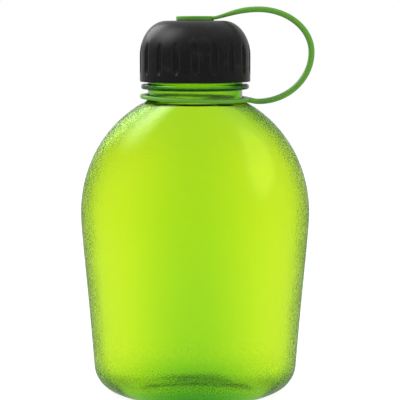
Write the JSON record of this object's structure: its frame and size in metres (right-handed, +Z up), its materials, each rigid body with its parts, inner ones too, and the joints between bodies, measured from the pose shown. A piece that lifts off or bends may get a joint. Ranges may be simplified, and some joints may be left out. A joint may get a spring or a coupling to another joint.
{
  "type": "water bottle",
  "caption": "Rigid clear green canteen with a kidney section and wide neck, closed by a black fluted screw cap that a moulded green tether loop keeps on the neck.",
  "frame": {"origin": "on the neck's axis, on the plane that the base stands on", "axes": "+Z up along the neck's axis, -Y towards the convex front, +X towards the tether's loop"},
  "size_m": [0.1299, 0.0766, 0.2167],
  "materials": {
    "clear_green": "clear lime-green copolyester, glossy outside, finely stippled",
    "cap_black": "black moulded plastic, satin",
    "tether_green": "flexible moulded green plastic, satin",
    "seal_grey": "grey silicone, matte"
  },
  "bodies": {
    "bottle": {"bottle_shell": "clear_green"},
    "tether_ring": {"tether_neck_ring": "tether_green", "tether_strap": "tether_green"},
    "eyelet": {"tether_eyelet": "tether_green"},
    "stud": {"swivel_stud": "cap_black"},
    "cap": {"cap_shell": "cap_black", "cap_seal": "seal_grey"}
  },
  "joints": [
    {"name": "tether_swing", "type": "hinge", "parent": "bottle", "child": "tether_ring", "pos_m": [0, 0, 0.166], "axis": [0, 0, 1], "continuous": true},
    {"name": "eyelet_rise", "type": "slide", "parent": "tether_ring", "child": "eyelet", "axis": [0, 0, 1], "range_m": [0, 0.02], "deforming": ["tether_strap"]},
    {"name": "cap_rise", "type": "slide", "parent": "bottle", "child": "stud", "axis": [0, 0, 1], "range_m": [0, 0.02]},
    {"name": "cap_turn", "type": "hinge", "parent": "stud", "child": "cap", "pos_m": [0, 0, 0.192], "axis": [0, 0, 1], "range_deg": [0, 900]}
  ],
  "couplings": [
    {"joint": "cap_rise", "follows": "cap_turn", "m_per_rad": 0.0012732},
    {"joint": "eyelet_rise", "follows": "cap_turn", "m_per_rad": 0.0012732}
  ]
}
